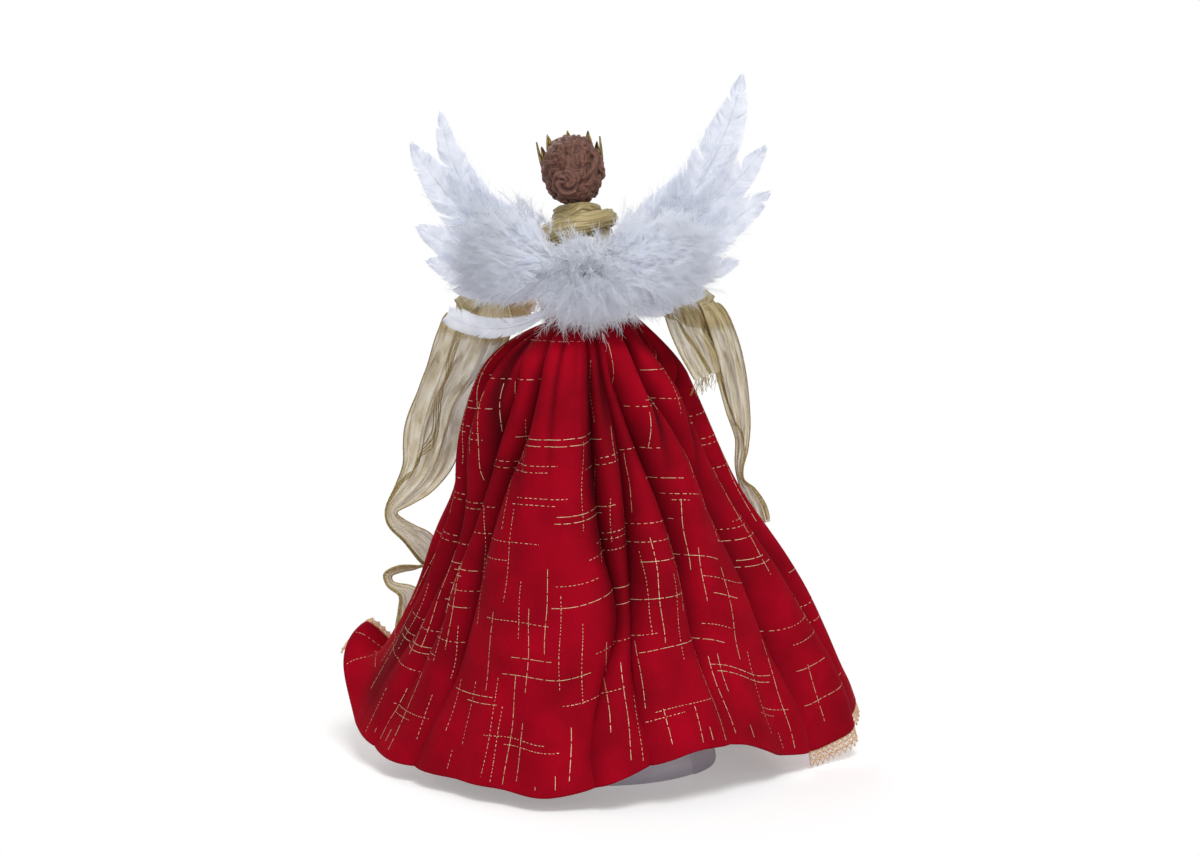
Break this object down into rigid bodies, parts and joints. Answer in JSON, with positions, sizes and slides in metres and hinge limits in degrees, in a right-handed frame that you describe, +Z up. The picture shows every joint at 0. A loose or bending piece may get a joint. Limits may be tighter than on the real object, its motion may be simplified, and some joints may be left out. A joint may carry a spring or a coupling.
{
  "type": "angel tree topper",
  "caption": "Dressed angel doll on a rolled plastic cone that slips over a tree's leader, with feather wings, velvet robe, sheer gold stole and tiara.",
  "frame": {"origin": "centre of the cone's rim, on the surface that the topper stands on", "axes": "+Z up along the cone, +Y the way the angel faces, so her right side is +X"},
  "size_m": [0.2555, 0.2035, 0.3281],
  "materials": {
    "frosted_plastic": "frosted sheet",
    "pressed_paper": "raw pressed paper",
    "stuffed_cloth": "stuffed plain cloth",
    "red_velvet": "velvet with broken gold threads",
    "ivory_satin": "satin",
    "gold_organza": "crinkled sheer organza",
    "gold_lace": "metallic picot lace",
    "antique_gold": "antiqued",
    "painted_resin": "matt painted resin",
    "hair_resin": "matt brown resin",
    "white_feather": "natural white feather",
    "white_felt": "felt",
    "steel_wire": "drawn"
  },
  "bodies": {
    "root": {"base_cone": "frosted_plastic", "cone_plug": "pressed_paper", "torso_form": "stuffed_cloth", "shoulder_wire": "steel_wire", "bodice": "red_velvet", "shoulder_head": "painted_resin", "hair": "hair_resin", "tiara": "antique_gold", "stole_collar": "gold_organza", "gown_front": "ivory_satin", "robe": "red_velvet", "left_robe_lace": "gold_lace", "right_robe_lace": "gold_lace", "wing_pad": "white_felt", "marabou_puff": "white_feather"},
    "left_wing": {"left_wing_card": "white_felt", "left_wing_wire": "steel_wire", "left_covert": "white_feather", "left_primary_1": "white_feather", "left_primary_2": "white_feather", "left_primary_3": "white_feather", "left_secondary_1": "white_feather", "left_secondary_2": "white_feather", "left_secondary_3": "white_feather", "left_covert_down": "white_feather", "left_stray_feather": "white_feather"},
    "right_wing": {"right_wing_card": "white_felt", "right_wing_wire": "steel_wire", "right_covert": "white_feather", "right_primary_1": "white_feather", "right_primary_2": "white_feather", "right_primary_3": "white_feather", "right_secondary_1": "white_feather", "right_secondary_2": "white_feather", "right_secondary_3": "white_feather", "right_covert_down": "white_feather"},
    "left_arm": {"left_arm_wire": "steel_wire", "left_sleeve": "gold_organza", "left_hand": "painted_resin", "left_stole_tail": "gold_organza"},
    "right_arm": {"right_arm_wire": "steel_wire", "right_sleeve": "gold_organza", "right_hand": "painted_resin", "right_stole_tail": "gold_organza", "right_stole_end": "gold_organza"}
  },
  "joints": [
    {"name": "left_wing_sweep", "type": "hinge", "parent": "root", "child": "left_wing", "pos_m": [-0.0205, -0.035, 0.238], "axis": [0, 0, 1], "range_deg": [-6, 45]},
    {"name": "right_wing_sweep", "type": "hinge", "parent": "root", "child": "right_wing", "pos_m": [0.0085, -0.035, 0.238], "axis": [0, 0, -1], "range_deg": [-6, 45]},
    {"name": "left_arm_lift", "type": "hinge", "parent": "root", "child": "left_arm", "pos_m": [-0.03244, 0, 0.23683], "axis": [0, 1, 0], "range_deg": [0, 25]},
    {"name": "right_arm_lift", "type": "hinge", "parent": "root", "child": "right_arm", "pos_m": [0.01534, 0, 0.24143], "axis": [0, -1, 0], "range_deg": [0, 25]}
  ]
}
